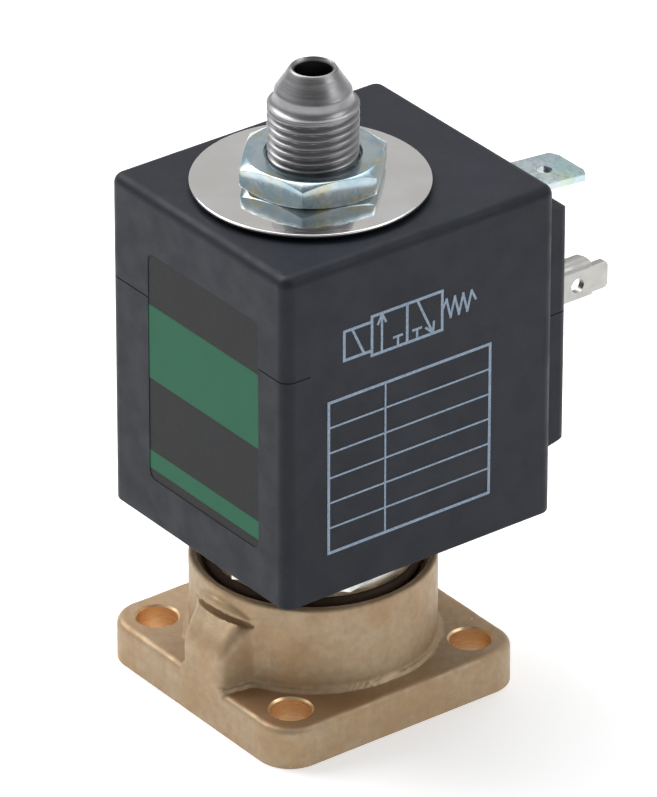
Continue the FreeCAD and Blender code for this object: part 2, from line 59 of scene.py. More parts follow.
def box_mm(node):
    """Lowest and highest corners of a CAD node, in millimetres."""
    low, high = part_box(node)
    return Vector(low) / MM, Vector(high) / MM


# ---------------------------------------------------------------- camera

CAMERA_AZIMUTH = 53.0
CAMERA_ELEVATION = 29.57
CAMERA_DISTANCE = 918.6     # from the aim point
AIM_HEIGHT = 30.0
SENSOR_MM = 36.0
FOCAL_MM = 391.3
SHIFT_X = 0.0192
SHIFT_Y = 0.0310


def direction(azimuth, elevation):
    """The unit vector of an azimuth and elevation in degrees, where azimuth 0 is the -Y side."""
    azimuth = math.radians(azimuth)
    elevation = math.radians(elevation)
    return Vector((math.sin(azimuth) * math.cos(elevation), -math.cos(azimuth) * math.cos(elevation),
                   math.sin(elevation)))


def make_camera():
    back = direction(CAMERA_AZIMUTH, CAMERA_ELEVATION)
    data = bpy.data.cameras.new("camera")
    data.lens = FOCAL_MM
    data.sensor_width = SENSOR_MM
    data.shift_x = SHIFT_X
    data.shift_y = SHIFT_Y
    data.clip_end = 20
    camera = bpy.data.objects.new("camera", data)
    camera.location = (Vector((0, 0, AIM_HEIGHT)) + back * CAMERA_DISTANCE) * MM
    camera.rotation_euler = back.to_track_quat("Z", "Y").to_euler()
    bpy.context.collection.objects.link(camera)
    bpy.context.scene.camera = camera


make_camera()


# ---------------------------------------------------------------- materials

class Shade:
    """A procedural material, with short calls for the nodes that it is made of."""

    def __init__(self, name, metallic=0.0, roughness=0.5, **sockets):
        self.material = bpy.data.materials.new(name)
        self.material.use_nodes = True
        self.tree = self.material.node_tree
        self.shader = self.tree.nodes["Principled BSDF"]
        self.shader.inputs["Metallic"].default_value = metallic
        self.shader.inputs["Roughness"].default_value = roughness
        for socket, value in sockets.items():
            self.shader.inputs[socket.replace("_", " ")].default_value = value
        self.place = self.node("ShaderNodeTexCoord").outputs["Object"]
        self.facing = self.place.node.outputs["Normal"]
        self.height = None

    def node(self, kind, **settings):
        made = self.tree.nodes.new(kind)
        for key, value in settings.items():
            setattr(made, key, value)
        return made

    def link(self, source, socket):
        """Joins an output to an input, or sets the input where the source is a plain value."""
        if hasattr(source, "is_output"):
            self.tree.links.new(source, socket)
        else:
            socket.default_value = source

    def stretched(self, x, y, z):
        """The object's coordinates, scaled along each axis."""
        node = self.node("ShaderNodeMapping")
        self.link(self.place, node.inputs["Vector"])
        node.inputs["Scale"].default_value = (x, y, z)
        return node.outputs["Vector"]

    def noise(self, size_mm, detail=3.0, roughness=0.5, place=None):
        """Noise from 0 to 1 whose features are about size_mm across."""
        node = self.node("ShaderNodeTexNoise")
        self.link(place or self.place, node.inputs["Vector"])
        node.inputs["Scale"].default_value = 1 / (size_mm * MM)
        node.inputs["Detail"].default_value = detail
        node.inputs["Roughness"].default_value = roughness
        return node.outputs["Fac"]

    def cells(self, size_mm):
        node = self.node("ShaderNodeTexVoronoi")
        self.link(self.place, node.inputs["Vector"])
        node.inputs["Scale"].default_value = 1 / (size_mm * MM)
        return node.outputs["Distance"]

    def split(self, vector):
        node = self.node("ShaderNodeSeparateXYZ")
        self.link(vector, node.inputs[0])
        return node.outputs

    def maths(self, operation, a, b=0.0):
        node = self.node("ShaderNodeMath", operation=operation)
        self.link(a, node.inputs[0])
        self.link(b, node.inputs[1])
        return node.outputs[0]

    def step(self, value, low, high, out_low=0.0, out_high=1.0):
        """A smooth change from out_low to out_high as value goes from low to high."""
        node = self.node("ShaderNodeMapRange", interpolation_type="SMOOTHSTEP")
        self.link(value, node.inputs["Value"])
        node.inputs["From Min"].default_value = low
        node.inputs["From Max"].default_value = high
        node.inputs["To Min"].default_value = out_low
        node.inputs["To Max"].default_value = out_high
        return node.outputs["Result"]

    def blend(self, factor, first, second):
        node = self.node("ShaderNodeMix", data_type="RGBA")
        self.link(factor, node.inputs["Factor"])
        self.link(first, node.inputs["A"])
        self.link(second, node.inputs["B"])
        return node.outputs["Result"]

    def radius(self):
        """Distance from the stem's axis, in metres."""
        x, y, _ = self.split(self.place)
        return self.maths("SQRT", self.maths("ADD", self.maths("MULTIPLY", x, x),
                                             self.maths("MULTIPLY", y, y)))

    def colour(self, source):
        self.link(source, self.shader.inputs["Base Color"])
        return self

    def rough(self, source):
        self.link(source, self.shader.inputs["Roughness"])
        return self

    def bump(self, height, depth_mm):
        """Adds a bump of that depth to the ones before it."""
        node = self.node("ShaderNodeBump")
        node.inputs["Strength"].default_value = 1.0
        node.inputs["Distance"].default_value = depth_mm * MM
        self.link(height, node.inputs["Height"])
        if self.height:
            self.link(self.height, node.inputs["Normal"])
        self.height = node.outputs["Normal"]
        self.link(self.height, self.shader.inputs["Normal"])
        return self


def srgb(red, green, blue):
    """An 8-bit screen colour as the linear colour that the shader takes."""
    def linear(value):
        value = value / 255
        return value / 12.92 if value <= 0.04045 else ((value + 0.055) / 1.055) ** 2.4
    return (linear(red), linear(green), linear(blue), 1.0)


def forged_brass():
    """Dull tan skin of a hot forging, browner in patches, with painted reflection and painted shade of the
    dark coil on the flange's top near one corner, and painted highlight glints.
    """
    s = Shade("forged_brass", metallic=0.45, roughness=0.5)
    patches = s.step(s.noise(5.0, 4.0, 0.6), 0.36, 0.66)
    grain = s.step(s.noise(0.9, 5.0, 0.65), 0.3, 0.72)
    skin = s.blend(patches, srgb(180, 159, 130), srgb(175, 147, 112))
    skin = s.blend(s.maths("MULTIPLY", grain, 0.4), skin, srgb(150, 124, 96))
    # Painted reflection and painted shade: the flange's top beside the cup is browned, most towards one
    # corner, to stand for the dark coil seen in it and the shade it casts.
    up = s.step(s.split(s.facing)[2], 0.8, 0.98)
    x, y, z = s.split(s.place)
    low = s.step(z, 5.3 * MM, 4.9 * MM)
    corner = s.step(s.maths("SUBTRACT", x, y), 11 * MM, 23 * MM, 0.3, 1.0)
    painted_reflection = s.maths("MULTIPLY", s.maths("MULTIPLY", up, low), corner)
    painted_reflection = s.maths("MULTIPLY", painted_reflection, s.step(s.noise(7.0, 2.0), 0.25, 0.6, 0.6, 0.95))
    skin = s.blend(painted_reflection, skin, srgb(148, 114, 80))
    # Painted highlights: small pale dots stand for glints of light on the skin.
    painted_glints = s.step(s.noise(0.5, 1.0), 0.8, 0.83)
    s.colour(s.blend(painted_glints, skin, srgb(226, 208, 180)))
    s.rough(s.step(s.noise(1.4, 4.0), 0.3, 0.7, 0.42, 0.6))
    s.bump(s.noise(0.35, 4.0, 0.6), 0.03)
    return s.bump(s.cells(0.7), 0.012).material


def machined_brass():
    """Freshly cut brass with the fine rings of the drill."""
    s = Shade("machined_brass", metallic=0.7, roughness=0.3)
    rings = s.noise(0.25, 2.0, place=s.stretched(0.05, 0.05, 1.0))
    s.colour(s.blend(rings, srgb(236, 204, 164), srgb(228, 192, 146)))
    s.rough(s.step(rings, 0.3, 0.7, 0.24, 0.38))
    return s.bump(rings, 0.01).material


def turned_steel(name, light, dark, roughness, ring_mm=0.12, bore_mm=0.0):
    """Steel off the lathe: fine rings along the stem and faint streaks, and painted shade inside its bore.
    """
    s = Shade(name, metallic=1.0, roughness=roughness)
    rings = s.noise(ring_mm, 2.0, place=s.stretched(0.02, 0.02, 1.0))
    stain = s.step(s.noise(2.5, 3.0), 0.35, 0.7)
    skin = s.blend(s.maths("MULTIPLY", stain, 0.6), light, dark)
    # Painted shade: the inside of the bore is coloured near-black, where shade falls in it.
    inside = s.step(s.radius(), (bore_mm + 0.12) * MM, bore_mm * MM)
    s.colour(s.blend(inside, skin, srgb(44, 44, 46)) if bore_mm else skin)
    s.rough(s.step(rings, 0.3, 0.7, roughness * 0.8, roughness * 1.3))
    return s.bump(rings, 0.006).material


def rolled_steel(name, light, dark, roughness):
    """Plain strip or wire with a rolled grain."""
    s = Shade(name, metallic=1.0, roughness=roughness)
    grain = s.noise(0.3, 4.0, place=s.stretched(1.0, 0.12, 1.0))
    s.colour(s.blend(grain, light, dark))
    s.rough(s.step(s.noise(1.2, 3.0), 0.3, 0.7, roughness * 0.8, roughness * 1.25))
    return s.bump(grain, 0.006).material


def zinc_plating(name, pale, blue, yellow, roughness, patch_mm):
    """Bright zinc whose clear passivation drifts from blue to yellow."""
    s = Shade(name, metallic=1.0, roughness=roughness)
    drift = s.step(s.noise(patch_mm, 2.0), 0.36, 0.64)
    spots = s.step(s.noise(patch_mm * 0.8, 2.0, place=s.stretched(1.0, 1.0, 1.9)), 0.52, 0.7)
    s.colour(s.blend(s.maths("MULTIPLY", spots, 0.75), s.blend(drift, pale, blue), yellow))
    s.rough(s.step(s.noise(0.5, 3.0), 0.3, 0.7, roughness * 0.75, roughness * 1.3))
    return s.bump(s.noise(0.5, 2.0), 0.0015).material


def polished_washer():
    """Mirror-bright disc with faint rings left by the polishing wheel."""
    s = Shade("washer_polish", metallic=1.0, roughness=0.08)
    node = s.node("ShaderNodeTexNoise", noise_dimensions="1D")
    s.link(s.radius(), node.inputs["W"])
    node.inputs["Scale"].default_value = 1 / (0.15 * MM)
    rings = node.outputs["Fac"]
    film = s.step(s.noise(6.0, 2.0), 0.35, 0.65)
    s.colour(s.blend(film, srgb(238, 237, 237), srgb(232, 229, 226)))
    s.rough(s.step(rings, 0.35, 0.65, 0.05, 0.11))
    return s.bump(rings, 0.0008).material


def coil_moulding():
    """Charcoal moulding with a fine satin skin and slow variations where it flowed."""
    s = Shade("coil_moulding", roughness=0.48, Specular_IOR_Level=0.21)
    flow = s.step(s.noise(9.0, 3.0, 0.55, place=s.stretched(1.0, 1.0, 0.45)), 0.3, 0.7)
    speck = s.step(s.noise(0.22, 2.0), 0.4, 0.75)
    base = s.blend(flow, srgb(31, 35, 44), srgb(27, 30, 37))
    s.colour(s.blend(s.maths("MULTIPLY", speck, 0.3), base, srgb(43, 48, 58)))
    s.rough(s.step(s.noise(3.0, 4.0), 0.3, 0.7, 0.42, 0.56))
    s.bump(s.noise(0.16, 3.0, 0.6), 0.012)
    return s.bump(s.noise(6.0, 2.0), 0.05).material


GREEN_BANDS_MM = ((36.9, 45.7), (25.95, 28.15))


def label_film():
    """Matt black film with two plain green bands across it."""
    s = Shade("label_film", roughness=0.42, Specular_IOR_Level=0.14)
    height = s.split(s.place)[2]
    soft = 0.04 * MM
    bands = None
    for low, high in GREEN_BANDS_MM:
        above = s.step(height, low * MM - soft, low * MM + soft)
        below = s.step(height, high * MM + soft, high * MM - soft)
        band = s.maths("MULTIPLY", above, below)
        bands = band if bands is None else s.maths("ADD", bands, band)
    weave = s.noise(0.2, 2.0)
    black = s.blend(s.noise(5.0, 2.0), srgb(25, 26, 28), srgb(30, 31, 33))
    green = s.blend(s.noise(4.0, 3.0), srgb(24, 96, 68), srgb(21, 89, 63))
    s.colour(s.blend(bands, black, green))
    s.rough(s.step(weave, 0.3, 0.7, 0.36, 0.48))
    return s.bump(weave, 0.004).material


def print_ink():
    """Pad-printed blue-grey ink, a little thin in places."""
    s = Shade("print_ink", roughness=0.55)
    thin = s.step(s.noise(0.25, 3.0, 0.7), 0.35, 0.62)
    s.colour(s.blend(thin, srgb(112, 128, 146), srgb(138, 156, 176)))
    return s.bump(s.noise(0.12, 2.0), 0.006).material


def plastic(name, light, dark, roughness=0.45, clear=0.0):
    s = Shade(name, roughness=roughness, Coat_Weight=clear)
    s.colour(s.blend(s.noise(2.0, 4.0), light, dark))
    s.rough(s.step(s.noise(0.8, 3.0), 0.3, 0.7, roughness * 0.85, roughness * 1.2))
    return s.bump(s.noise(0.3, 3.0), 0.006).material


def rubber(name, light, dark):
    s = Shade(name, roughness=0.6, Specular_IOR_Level=0.25)
    s.colour(s.blend(s.noise(0.8, 4.0), light, dark))
    s.rough(s.step(s.noise(0.4, 3.0), 0.3, 0.7, 0.5, 0.72))
    return s.bump(s.noise(0.15, 3.0), 0.01).material


def enamelled_copper():
    """Layers of fine enamelled wire, one ridge to each turn."""
    s = Shade("enamelled_copper", metallic=0.85, roughness=0.3, Coat_Weight=0.4)
    wave = s.node("ShaderNodeTexWave", wave_type="BANDS", bands_direction="Z")
    s.link(s.place, wave.inputs["Vector"])
    wave.inputs["Scale"].default_value = 1 / (0.9 * MM)
    turns = wave.outputs["Fac"]
    s.colour(s.blend(turns, srgb(120, 62, 32), srgb(186, 104, 56)))
    s.rough(s.step(s.noise(0.6, 3.0), 0.3, 0.7, 0.25, 0.4))
    return s.bump(turns, 0.05).material


MATERIALS = {
    "forged_brass": forged_brass(),
    "machined_brass": machined_brass(),
    "tube_base_plating": turned_steel("tube_base_plating", srgb(226, 225, 223), srgb(210, 208, 205), 0.2),
    "guide_tube_steel": turned_steel("guide_tube_steel", srgb(200, 200, 200), srgb(180, 180, 180), 0.25),
    "core_steel": turned_steel("core_steel", srgb(148, 147, 149), srgb(130, 128, 130), 0.36, bore_mm=1.96),
    "plunger_steel": turned_steel("plunger_steel", srgb(190, 190, 190), srgb(170, 170, 170), 0.25),
    "spring_steel": rolled_steel("spring_steel", srgb(200, 198, 192), srgb(176, 174, 168), 0.28),
    # Painted shade: the spring washer under the disc is a real part, coloured dark grey to stand for the
    # shadowed gap there.
    "spring_washer_steel": rolled_steel("spring_washer_steel", srgb(96, 96, 98), srgb(70, 70, 72), 0.45),
    "yoke_steel": rolled_steel("yoke_steel", srgb(168, 168, 170), srgb(140, 140, 142), 0.4),
    "tinned_brass": rolled_steel("tinned_brass", srgb(184, 183, 179), srgb(170, 169, 165), 0.42),
    "zinc_plating": zinc_plating("zinc_plating", srgb(190, 203, 208), srgb(164, 188, 199),
                                 srgb(192, 188, 160), 0.2, 3.0),
    "earth_plating": zinc_plating("earth_plating", srgb(200, 206, 214), srgb(178, 206, 210),
                                  srgb(190, 208, 188), 0.34, 4.5),
    "washer_polish": polished_washer(),
    "coil_moulding": coil_moulding(),
    "label_film": label_film(),
    "print_ink": print_ink(),
    "seal_rubber": rubber("seal_rubber", srgb(26, 25, 24), srgb(18, 18, 18)),
    "oring_rubber": rubber("oring_rubber", srgb(72, 55, 41), srgb(52, 39, 29)),
    "bobbin_plastic": plastic("bobbin_plastic", srgb(222, 216, 200), srgb(206, 199, 182)),
    "polyester_tape": plastic("polyester_tape", srgb(214, 180, 84), srgb(196, 160, 66), 0.3, 0.3),
    "lead_insulation": plastic("lead_insulation", srgb(176, 52, 40), srgb(158, 44, 34), 0.4),
    "shading_copper": rolled_steel("shading_copper", srgb(206, 132, 96), srgb(186, 112, 78), 0.3),
    "enamelled_copper": enamelled_copper(),
}


# ---------------------------------------------------------------- mesh tools

SMOOTH_ANGLE = math.radians(32)


def finish_mesh(obj, smooth_angle=SMOOTH_ANGLE):
    """Smooth shading that keeps the real edges sharp."""
    mesh = obj.data
    mesh.polygons.foreach_set("use_smooth", [True] * len(mesh.polygons))
    mesh.set_sharp_from_angle(angle=smooth_angle)
    mesh.update()


def new_object(name, points, faces):
    """A mesh object from points in millimetres."""
    mesh = bpy.data.meshes.new(name)
    mesh.from_pydata([(x * MM, y * MM, z * MM) for x, y, z in points], [], faces)
    mesh.validate()
    obj = bpy.data.objects.new(name, mesh)
    bpy.context.collection.objects.link(obj)
    return obj


def stands_for(obj, node, body, slot, material=None):
    """Puts a finished piece in the place of a CAD node."""
    if not obj.data.materials:
        obj.data.materials.append(MATERIALS[material or slot])
    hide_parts(node)
    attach(obj, body)


def face_outwards(obj):
    mesh = bmesh.new()
    mesh.from_mesh(obj.data)
    bmesh.ops.recalc_face_normals(mesh, faces=mesh.faces)
    mesh.to_mesh(obj.data)
    mesh.free()


def swept_round(name, outline_at, angles):
    """A closed ring of sections. outline_at(angle) gives the section there as (radius, height) points."""
    sections = [outline_at(angle) for angle in angles]
    count = len(sections[0])
    points = []
    for angle, section in zip(angles, sections):
        points += [(r * math.cos(angle), r * math.sin(angle), z) for r, z in section]
    faces = []
    for i in range(len(angles)):
        here = i * count
        there = (i + 1) % len(angles) * count
        for j in range(count):
            k = (j + 1) % count
            faces.append((here + j, there + j, there + k, here + k))
    obj = new_object(name, points, faces)
    face_outwards(obj)
    return obj


def turned(name, outline, steps=128):
    """A ring of revolution from one closed section."""
    return swept_round(name, lambda angle: outline, [FULL_TURN * i / steps for i in range(steps)])


def apply_modifier(obj, kind, **settings):
    modifier = obj.modifiers.new(kind.lower(), kind)
    for key, value in settings.items():
        setattr(modifier, key, value)
    with bpy.context.temp_override(object=obj, active_object=obj, selected_objects=[obj]):
        bpy.ops.object.modifier_apply(modifier=modifier.name)


def bevelled(obj, width_mm, segments=2, angle=28):
    apply_modifier(obj, "BEVEL", width=width_mm * MM, segments=segments, limit_method="ANGLE",
                   angle_limit=math.radians(angle), harden_normals=False)
    return obj


def carved(obj, tool, operation="DIFFERENCE"):
    """A boolean of obj with a tool, which is used up."""
    apply_modifier(obj, "BOOLEAN", object=tool, operation=operation, solver="EXACT",
                   material_mode="INDEX")
    bpy.data.objects.remove(tool)
    return obj


def together(objects):
    """Several objects made into the first of them."""
    mesh = bmesh.new()
    for obj in objects:
        mesh.from_mesh(obj.data)
    mesh.to_mesh(objects[0].data)
    mesh.free()
    for obj in objects[1:]:
        bpy.data.objects.remove(obj)
    return objects[0]


def prism(name, outline, push):
    """A flat outline of 3-D points, pushed along a vector."""
    count = len(outline)
    points = [tuple(p) for p in outline] + [tuple(Vector(p) + Vector(push)) for p in outline]
    faces = [tuple(range(count)), tuple(range(2 * count - 1, count - 1, -1))]
    faces += [(i, (i + 1) % count, count + (i + 1) % count, count + i) for i in range(count)]
    obj = new_object(name, points, faces)
    face_outwards(obj)
    return obj


def round_tool(radius, start, end, steps=64):
    """A cylinder from one point to another, used to carve with."""
    start = Vector(start)
    end = Vector(end)
    turn = (end - start).to_track_quat("Z", "Y")
    points = []
    for centre in (start, end):
        for i in range(steps):
            angle = FULL_TURN * i / steps
            points.append(centre + turn @ Vector((radius * math.cos(angle), radius * math.sin(angle), 0)))
    faces = [tuple(range(steps)), tuple(range(steps, 2 * steps))]
    faces += [(i, (i + 1) % steps, steps + (i + 1) % steps, steps + i) for i in range(steps)]
    obj = new_object("tool", points, faces)
    face_outwards(obj)
    return obj


def arc(centre_x, centre_y, radius, start_deg, end_deg, steps):
    """Points along an arc in a plane, both ends included."""
    angles = [math.radians(start_deg + (end_deg - start_deg) * i / steps) for i in range(steps + 1)]
    return [(centre_x + radius * math.cos(a), centre_y + radius * math.sin(a)) for a in angles]


# ---------------------------------------------------------------- forged valve body

GRID_MM = 0.2               # spacing of the distance field that the forging is drawn from
SKIN_SEED = 7


class Field:
    """Distances to shapes, sampled over the body's space, in millimetres."""

    def __init__(self, low, high, step):
        self.low = low
        self.step = step
        axes = [np.arange(a, b, step) for a, b in zip(low, high)]
        self.x, self.y, self.z = np.meshgrid(*axes, indexing="ij")

    def smooth_noise(self, size, seed):
        """Noise from -1 to 1 with soft lumps about size across."""
        random = np.random.default_rng(seed)
        cells = [int(n * self.step / size) + 3 for n in self.x.shape]
        values = random.uniform(-1, 1, cells)
        for axis, count in enumerate(self.x.shape):
            place = np.arange(count) * self.step / size
            base = place.astype(int)
            part = place - base
            part = part * part * (3 - 2 * part)
            shape = [1, 1, 1]
            shape[axis] = count
            part = part.reshape(shape)
            values = np.take(values, base, axis) * (1 - part) + np.take(values, base + 1, axis) * part
        return values

    def mesh(self, name, distance):
        grid = openvdb.FloatGrid(self.step)
        grid.copyFromArray(distance.astype(np.float32))
        points, quads = grid.convertToQuads(isovalue=0.0)
        points = points * self.step + np.array(self.low)
        obj = new_object(name, points.tolist(), quads.tolist())
        face_outwards(obj)
        return obj


def joined(a, b, blend):
    """Union of two distance fields with a fillet of about that size."""
    part = np.clip(0.5 + 0.5 * (b - a) / blend, 0, 1)
    return b * (1 - part) + a * part - blend * part * (1 - part)


def met(a, b, blend):
    """Intersection of two distance fields with a rounded edge."""
    return -joined(-a, -b, blend)


def slab(distance, height, radius):
    """A plan outline raised to a height, with its upper edge rounded."""
    edge = np.maximum(distance + radius, 0) ** 2 + np.maximum(height + radius, 0) ** 2
    return np.sqrt(edge) + np.minimum(np.maximum(distance, height) + radius, 0) - radius


def rounded_square(field, half, corner):
    dx = np.abs(field.x) - half + corner
    dy = np.abs(field.y) - half + corner
    outside = np.sqrt(np.maximum(dx, 0) ** 2 + np.maximum(dy, 0) ** 2)
    return outside + np.minimum(np.maximum(dx, dy), 0) - corner


FLANGE_CORNER = 4.0
FLANGE_TOP = 4.8
FLANGE_EDGE = 0.8
CUP_R = 13.36
CUP_LIP_R = 12.6
CUP_EDGE = 0.35
TRIM_OUT = 0.42             # how far the trimmed flash stands out round the foot of the cup
TRIM_TOP = 5.2
BOSS_FRONT_X = 1.7
BOSS_REAR_X = 1.1
BOSS_FRONT_HALF = 3.3
BOSS_REAR_HALF = 4.5
BOSS_REAR_Y = -12.3
BOSS_TOP = 12.1
FACET_ANGLE = -61.0         # degrees round from the X axis
FACET_HALF = 1.2
FACET_PROUD = 0.08
FACET_TOP = 12.9
CREASE_Z = 11.7
CREASE_RISE = 0.5
CREASE_SPAN = (-106.0, -64.5)
GROOVE_R = 0.64
GROOVE_OUT = 0.0            # from the cup's wall to the middle of the groove
LIP_HALF_W = 0.72
LIP_HALF_H = 0.85
LIP_SUNK = 0.1
LIP_ABOVE = 0.75
SEAM_Z = 2.3
SCREW_PITCH = 24.0
SCREW_R = 2.25
SCREW_MOUTH = 0.22
SCREW_OVER = 0.25           # how far the countersink runs on above the flange
SOCKET_R = 10.0
SOCKET_SEAT_R = 10.9
SOCKET_SEAT_Z = 12.8
CHAMBER_FLOOR = 6.0
PORT_R = 1.75
PORT_SEAL_R = 3.6
PORT_SEAL_DEPTH = 1.3
OUTLET_Y = -8.6
ORIFICE_R = 1.1
ORIFICE_Z = 4.6
SEAT_TOP = 7.9
SEAT_FOOT_R = 3.0
SEAT_TIP_R = 1.7


def forging():
    low, high = box_mm("valve_body")
    margin = 1.0
    f = Field((low.x - margin, low.y - margin, -3.0), (high.x + margin, high.y + margin, high.z + margin),
              GRID_MM)
    half = high.x
    around = np.sqrt(f.x ** 2 + f.y ** 2)
    angle = np.degrees(np.arctan2(f.y, f.x))

    plate = slab(rounded_square(f, half, FLANGE_CORNER), f.z - FLANGE_TOP, FLANGE_EDGE)
    plate = plate - 0.05 * np.exp(-((f.z - SEAM_Z) / 0.16) ** 2)
    cup_plan = around - CUP_R
    cup = slab(cup_plan, f.z - high.z, CUP_EDGE)

    spread = np.clip((f.y + half) / (BOSS_REAR_Y + half), 0, 1.3)
    boss_half = BOSS_FRONT_HALF + (BOSS_REAR_HALF - BOSS_FRONT_HALF) * spread
    boss_middle = BOSS_FRONT_X + (BOSS_REAR_X - BOSS_FRONT_X) * spread
    boss_side = (np.abs(f.x - boss_middle) - boss_half) * 0.93
    boss_front = -half - f.y
    boss_plan = met(np.maximum(boss_side, f.y), boss_front, 0.9)
    slope = f.z - BOSS_TOP + 0.9 * np.maximum(-CUP_R - f.y, 0)
    boss = met(boss_plan, slope * 0.75, 1.6)

    footprint = joined(cup_plan, boss_plan, 0.8)
    wander = 0.12 * f.smooth_noise(2.6, SKIN_SEED + 1)
    trim = slab(footprint - TRIM_OUT - wander, f.z - TRIM_TOP, 0.1)
    trim = np.maximum(trim, -half - f.y)

    body = joined(cup, boss, 0.6)
    body = joined(body, facet(f), 0.12)
    body = joined(body, plate, 0.4)
    body = joined(body, trim, 0.12)
    body = creased(f, body, around, angle)

    skin = 0.03 * f.smooth_noise(2.2, SKIN_SEED) + 0.012 * f.smooth_noise(0.7, SKIN_SEED + 2)
    body = np.maximum(body - skin, plate_limit(f, half))
    return f.mesh("forged_body", body), high.z


def facet(field):
    """A narrow flat that stands up the cup beside the boss, a little proud of it."""
    turn = math.radians(FACET_ANGLE)
    out = field.x * math.cos(turn) + field.y * math.sin(turn)
    across = np.abs(field.y * math.cos(turn) - field.x * math.sin(turn))
    side = np.maximum(out - CUP_R - FACET_PROUD, across - FACET_HALF)
    return np.maximum(np.maximum(side, CUP_R / 2 - out), field.z - FACET_TOP)


def creased(field, body, around, angle):
    """The undercut where the boss's top meets the cup, and the lip that hangs over it."""
    start, end = CREASE_SPAN
    part = (angle - start) / (end - start) * 2 - 1
    arch = np.sqrt(np.clip(1 - part ** 2, 0, 1))
    crease_z = CREASE_Z + CREASE_RISE * arch
    wide = np.maximum(LIP_HALF_W * arch, 0.01)
    tall = np.maximum(LIP_HALF_H * arch, 0.01)
    out = (around - CUP_R + LIP_SUNK) / wide
    up = (field.z - crease_z - LIP_ABOVE * arch) / tall
    lip = (np.sqrt(out ** 2 + up ** 2) - 1) * wide
    groove = np.sqrt((around - CUP_R - GROOVE_OUT) ** 2 + (field.z - crease_z) ** 2) - GROOVE_R * arch
    inside = arch > 0
    body = joined(body, np.where(inside, lip, 9.0), 0.15)
    return met(body, np.where(inside, -groove, -9.0), 0.12)


def plate_limit(field, half):
    """Keeps the skin of the forging inside the flange's square."""
    return rounded_square(field, half, FLANGE_CORNER)


def machined(tool):
    """Marks a tool's faces, so that what it carves comes out as machined brass."""
    tool.data.materials.append(MATERIALS["forged_brass"])
    tool.data.materials.append(MATERIALS["machined_brass"])
    for face in tool.data.polygons:
        face.material_index = 1
    return tool


def closed_turned(name, outline, steps=96):
    """A solid of revolution whose outline starts and ends on the axis."""
    rim = outline[1:-1]
    points = [(0, 0, outline[0][1])]
    for r, z in rim:
        for i in range(steps):
            a = FULL_TURN * i / steps
            points.append((r * math.cos(a), r * math.sin(a), z))
    points.append((0, 0, outline[-1][1]))
    faces = []
    for i in range(steps):
        j = (i + 1) % steps
        faces.append((0, 1 + j, 1 + i))
        for k in range(len(rim) - 1):
            a, b = 1 + k * steps, 1 + (k + 1) * steps
            faces.append((a + i, a + j, b + j, b + i))
        top = 1 + (len(rim) - 1) * steps
        faces.append((top + i, top + j, len(points) - 1))
    obj = new_object(name, points, faces)
    face_outwards(obj)
    return obj


def valve_body():
    body, top = forging()
    body.data.materials.append(MATERIALS["forged_brass"])
    body.data.materials.append(MATERIALS["machined_brass"])
    over = 2.0
    below = -5.0
    half_pitch = SCREW_PITCH / 2
    mouth = SCREW_R + SCREW_MOUTH
    holes = []
    for x in (-half_pitch, half_pitch):
        for y in (-half_pitch, half_pitch):
            hole = closed_turned("tool", [(0, below), (SCREW_R, below), (SCREW_R, FLANGE_TOP - SCREW_MOUTH),
                                          (mouth + SCREW_OVER, FLANGE_TOP + SCREW_OVER),
                                          (0, FLANGE_TOP + SCREW_OVER)], 64)
            hole.data.transform(Matrix.Translation((x * MM, y * MM, 0)))
            holes.append(hole)
    carved(body, machined(together(holes)))
    socket = closed_turned("tool", [(0, SEAT_TOP), (SEAT_TIP_R, SEAT_TOP), (SEAT_FOOT_R, CHAMBER_FLOOR),
                                    (SOCKET_R, CHAMBER_FLOOR), (SOCKET_R, SOCKET_SEAT_Z),
                                    (SOCKET_SEAT_R, SOCKET_SEAT_Z), (CUP_LIP_R, top),
                                    (CUP_LIP_R + over, top + over), (0, top + over)])
    carved(body, machined(socket))
    ports = []
    for y, port_top in ((0.0, ORIFICE_Z), (OUTLET_Y, CHAMBER_FLOOR + 0.5)):
        port = closed_turned("tool", [(0, below), (PORT_SEAL_R, below), (PORT_SEAL_R, PORT_SEAL_DEPTH),
                                      (PORT_R, PORT_SEAL_DEPTH), (PORT_R, port_top), (0, port_top)], 64)
        port.data.transform(Matrix.Translation((0, y * MM, 0)))
        ports.append(port)
    carved(body, machined(together(ports)))
    carved(body, machined(round_tool(ORIFICE_R, (0, 0, 1), (0, 0, SEAT_TOP + 1), 48)))
    reach = 40.0
    floor_tool = prism("tool", [(-reach, -reach, -9), (reach, -reach, -9), (reach, reach, -9),
                                (-reach, reach, -9)], (0, 0, 9))
    carved(body, machined(floor_tool))
    finish_mesh(body, math.radians(35))
    stands_for(body, "valve_body", "valve", "forged_brass")


# ---------------------------------------------------------------- hexagons

def hex_radius(angle, across_flats, turn_deg):
    """Distance from the axis to a hexagon's side, in a given direction."""
    sector = math.radians(60)
    local = (angle - math.radians(turn_deg)) % sector - sector / 2
    return across_flats / 2 / math.cos(local)


def hex_angles(turn_deg, per_side):
    return [math.radians(turn_deg) + FULL_TURN * i / (6 * per_side) for i in range(6 * per_side)]


NUT_AF = 14.45
NUT_TURN = 15.5
NUT_BEVEL_TOP_R = 7.15
NUT_BEVEL_FOOT_R = 7.0
NUT_BEVEL = math.tan(math.radians(28))
NUT_SINK_R = 5.2
STUD_R = 4.864


